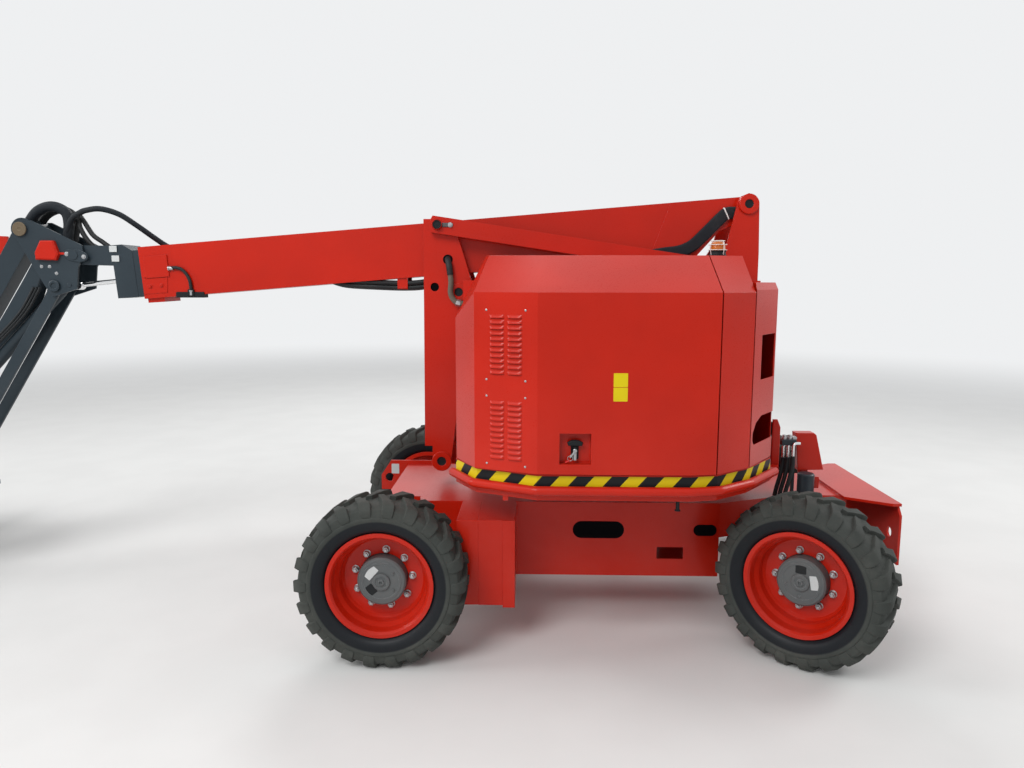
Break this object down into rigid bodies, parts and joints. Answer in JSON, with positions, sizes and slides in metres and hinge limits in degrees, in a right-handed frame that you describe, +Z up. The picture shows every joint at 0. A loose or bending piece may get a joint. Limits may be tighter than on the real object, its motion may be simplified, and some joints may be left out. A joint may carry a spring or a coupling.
{
  "type": "articulating boom lift",
  "caption": "Self-propelled articulating boom lift with stacked parallelogram arms, telescopic boom, jib and turning work platform.",
  "frame": {"origin": "on the ground under the middle of the overall length and width, as parked", "axes": "+Z up; the platform end points along -X and the counterweight end along +X; the machine's left side is -Y"},
  "size_m": [6.2646, 2.1648, 2.1659],
  "materials": {
    "paint_red": "gloss",
    "paint_dark": "satin",
    "paint_grey": "satin",
    "tyre_rubber": "matte",
    "chrome_rod": "polished",
    "bare_steel": "machined",
    "iron_weight": "painted",
    "amber_lens": "gloss",
    "black_plastic": "matte",
    "rail_grey": "satin"
  },
  "bodies": {
    "chassis": {"chassis_frame": "paint_red", "front_axle": "paint_dark", "rear_axle": "paint_dark", "slewing_ring": "bare_steel", "valve_cover": "paint_red"},
    "turntable": {"turntable_frame": "paint_red", "edge_band_left": "paint_red", "edge_band_right": "paint_red", "edge_tube_left": "paint_red", "edge_tube_right": "paint_red", "rear_cowl_left": "paint_red", "rear_cowl_right": "paint_red", "tail_cowl_left": "paint_red", "tail_cowl_right": "paint_red", "counterweight": "paint_red", "engine": "iron_weight", "beacon": "amber_lens"},
    "hood_left": {"hood_left": "paint_red"},
    "hood_right": {"hood_right": "paint_red"},
    "steering_left": {"steering_knuckle_left": "paint_dark"},
    "steering_right": {"steering_knuckle_right": "paint_dark"},
    "lower_arm": {"lower_arm": "paint_red"},
    "lower_link": {"lower_link": "paint_red"},
    "front_knuckle": {"front_knuckle": "paint_red"},
    "upper_arm": {"upper_arm": "paint_red"},
    "upper_link": {"upper_link_left": "paint_red", "upper_link_right": "paint_red"},
    "rear_upright": {"rear_upright": "paint_red"},
    "boom_outer": {"boom_outer": "paint_red"},
    "boom_inner": {"boom_inner": "paint_dark"},
    "jib_head": {"jib_head": "paint_dark"},
    "jib_arm": {"jib_arm": "paint_dark"},
    "jib_link": {"jib_link": "paint_dark"},
    "platform_bracket": {"platform_bracket": "paint_dark"},
    "platform": {"platform_floor": "rail_grey", "platform_rails": "rail_grey", "control_box": "black_plastic"},
    "platform_gate": {"platform_gate": "rail_grey"},
    "wheel_front_left": {"tyre_front_left": "tyre_rubber", "rim_front_left": "paint_red", "hub_front_left": "paint_grey"},
    "wheel_front_right": {"tyre_front_right": "tyre_rubber", "rim_front_right": "paint_red", "hub_front_right": "paint_grey"},
    "wheel_rear_left": {"tyre_rear_left": "tyre_rubber", "rim_rear_left": "paint_red", "hub_rear_left": "paint_grey"},
    "wheel_rear_right": {"tyre_rear_right": "tyre_rubber", "rim_rear_right": "paint_red", "hub_rear_right": "paint_grey"},
    "tower_barrel": {"tower_cylinder_barrel": "paint_dark"},
    "tower_rod": {"tower_cylinder_rod": "chrome_rod"},
    "lift_barrel": {"lift_cylinder_barrel": "paint_dark"},
    "lift_rod": {"lift_cylinder_rod": "chrome_rod"},
    "level_barrel": {"level_cylinder_barrel": "paint_dark"},
    "level_rod": {"level_cylinder_rod": "chrome_rod"},
    "jib_barrel": {"jib_cylinder_barrel": "paint_dark"},
    "jib_rod": {"jib_cylinder_rod": "chrome_rod"}
  },
  "joints": [
    {"name": "front_left_roll", "type": "hinge", "parent": "chassis", "child": "wheel_front_left", "pos_m": [0.613, -0.805, 0.388], "axis": [0, 1, 0], "continuous": true},
    {"name": "front_right_roll", "type": "hinge", "parent": "chassis", "child": "wheel_front_right", "pos_m": [0.613, 0.805, 0.388], "axis": [0, 1, 0], "continuous": true},
    {"name": "steer_left", "type": "hinge", "parent": "chassis", "child": "steering_left", "pos_m": [2.643, -0.61, 0.388], "axis": [0, 0, 1], "range_deg": [-2, 76]},
    {"name": "steer_right", "type": "hinge", "parent": "chassis", "child": "steering_right", "pos_m": [2.643, 0.61, 0.388], "axis": [0, 0, 1], "range_deg": [-2, 76]},
    {"name": "rear_left_roll", "type": "hinge", "parent": "steering_left", "child": "wheel_rear_left", "pos_m": [2.52565, -0.76573, 0.388], "axis": [0.6018, 0.7986, 0], "continuous": true},
    {"name": "rear_right_roll", "type": "hinge", "parent": "steering_right", "child": "wheel_rear_right", "pos_m": [2.76035, 0.76573, 0.388], "axis": [0.6018, 0.7986, 0], "continuous": true},
    {"name": "slew", "type": "hinge", "parent": "chassis", "child": "turntable", "pos_m": [1.628, 0, 0.785], "axis": [0, 0, 1], "range_deg": [-177.5, 177.5]},
    {"name": "hood_left_open", "type": "hinge", "parent": "turntable", "child": "hood_left", "pos_m": [1.628, -0.225, 1.834], "axis": [-1, 0, 0], "range_deg": [0, 60]},
    {"name": "hood_right_open", "type": "hinge", "parent": "turntable", "child": "hood_right", "pos_m": [1.628, 0.225, 1.834], "axis": [1, 0, 0], "range_deg": [0, 60]},
    {"name": "arms_raise", "type": "hinge", "parent": "turntable", "child": "lower_arm", "pos_m": [2.24304, 0, 1.13604], "axis": [0, 1, 0], "range_deg": [0, 65]},
    {"name": "lower_link_turn", "type": "hinge", "parent": "turntable", "child": "lower_link", "pos_m": [2.29304, 0, 1.30604], "axis": [0, 1, 0], "range_deg": [0, 65]},
    {"name": "knuckle_level", "type": "hinge", "parent": "lower_arm", "child": "front_knuckle", "pos_m": [0.807, 0, 0.778], "axis": [0, 1, 0], "range_deg": [-65, 0]},
    {"name": "upper_arm_turn", "type": "hinge", "parent": "front_knuckle", "child": "upper_arm", "pos_m": [0.905, 0, 1.67], "axis": [0, 1, 0], "range_deg": [-65, 0]},
    {"name": "upper_link_turn", "type": "hinge", "parent": "front_knuckle", "child": "upper_link", "pos_m": [0.803, 0, 2.008], "axis": [0, 1, 0], "range_deg": [-65, 0]},
    {"name": "upright_level", "type": "hinge", "parent": "upper_arm", "child": "rear_upright", "pos_m": [2.36797, 0, 1.44613], "axis": [0, 1, 0], "range_deg": [0, 65]},
    {"name": "boom_luff", "type": "hinge", "parent": "rear_upright", "child": "boom_outer", "pos_m": [2.369, 0, 2.112], "axis": [0, 1, 0], "range_deg": [0, 75]},
    {"name": "boom_telescope", "type": "slide", "parent": "boom_outer", "child": "boom_inner", "axis": [-0.9968, 0, -0.0802], "range_m": [0, 1.3]},
    {"name": "head_level", "type": "hinge", "parent": "boom_inner", "child": "jib_head", "pos_m": [-1.14315, 0, 1.86052], "axis": [0, 1, 0], "range_deg": [-75, 0]},
    {"name": "jib_raise", "type": "hinge", "parent": "jib_head", "child": "jib_arm", "pos_m": [-1.41814, 0, 1.99552], "axis": [0, 1, 0], "range_deg": [-8, 97]},
    {"name": "jib_link_turn", "type": "hinge", "parent": "jib_head", "child": "jib_link", "pos_m": [-1.25615, 0, 1.69852], "axis": [0, 1, 0], "range_deg": [-8, 97]},
    {"name": "bracket_level", "type": "hinge", "parent": "jib_arm", "child": "platform_bracket", "pos_m": [-2.12617, 0, 0.90525], "axis": [0, 1, 0], "range_deg": [-97, 8]},
    {"name": "platform_turn", "type": "hinge", "parent": "platform_bracket", "child": "platform", "pos_m": [-2.25117, 0, 0.34], "axis": [0, 0, 1], "range_deg": [-90, 90]},
    {"name": "gate_open", "type": "hinge", "parent": "platform", "child": "platform_gate", "pos_m": [-2.39317, -0.263, 0.34], "axis": [0, 0, -1], "range_deg": [0, 85]},
    {"name": "tower_swing", "type": "hinge", "parent": "front_knuckle", "child": "tower_barrel", "pos_m": [0.869, 0, 1.15], "axis": [0, 1, 0], "range_deg": [-38.41, 0]},
    {"name": "tower_stroke", "type": "slide", "parent": "tower_barrel", "child": "tower_rod", "axis": [0.8973, 0, 0.4415], "range_m": [0, 0.3791]},
    {"name": "lift_swing", "type": "hinge", "parent": "rear_upright", "child": "lift_barrel", "pos_m": [2.289, 0, 1.62], "axis": [0, 1, 0], "range_deg": [0, 61.33]},
    {"name": "lift_stroke", "type": "slide", "parent": "lift_barrel", "child": "lift_rod", "axis": [-0.9921, 0, 0.1253], "range_m": [0, 0.5401]},
    {"name": "level_swing", "type": "hinge", "parent": "boom_inner", "child": "level_barrel", "pos_m": [-0.56268, 0, 1.76577], "axis": [0, 1, 0], "range_deg": [0, 8.86]},
    {"name": "level_stroke", "type": "slide", "parent": "level_barrel", "child": "level_rod", "axis": [-0.9948, 0, -0.1021], "range_m": [-0.1841, 0]},
    {"name": "jib_swing", "type": "hinge", "parent": "jib_head", "child": "jib_barrel", "pos_m": [-1.25615, 0, 1.69852], "axis": [0, 1, 0], "range_deg": [-7.53, 85.7]},
    {"name": "jib_stroke", "type": "slide", "parent": "jib_barrel", "child": "jib_rod", "axis": [-0.7065, 0, -0.7077], "range_m": [-0.0397, 0.4593]}
  ],
  "couplings": [
    {"joint": "steer_right", "follows": "steer_left", "ratio": 1},
    {"joint": "lower_link_turn", "follows": "arms_raise", "ratio": 1},
    {"joint": "knuckle_level", "follows": "arms_raise", "ratio": -1},
    {"joint": "upper_arm_turn", "follows": "arms_raise", "ratio": -1},
    {"joint": "upper_link_turn", "follows": "arms_raise", "ratio": -1},
    {"joint": "upright_level", "follows": "arms_raise", "ratio": 1},
    {"joint": "head_level", "follows": "boom_luff", "ratio": -1},
    {"joint": "jib_link_turn", "follows": "jib_raise", "ratio": 1},
    {"joint": "bracket_level", "follows": "jib_raise", "ratio": -1},
    {"joint": "tower_swing", "follows": "arms_raise", "ratio": -0.58328},
    {"joint": "tower_stroke", "follows": "arms_raise", "m_per_rad": 0.3324},
    {"joint": "lift_swing", "follows": "boom_luff", "ratio": 0.811},
    {"joint": "lift_stroke", "follows": "boom_luff", "m_per_rad": 0.41106},
    {"joint": "level_swing", "follows": "boom_luff", "ratio": 0.11144},
    {"joint": "level_stroke", "follows": "boom_luff", "m_per_rad": -0.13913},
    {"joint": "jib_swing", "follows": "jib_raise", "ratio": 0.87831},
    {"joint": "jib_stroke", "follows": "jib_raise", "m_per_rad": 0.2701}
  ]
}
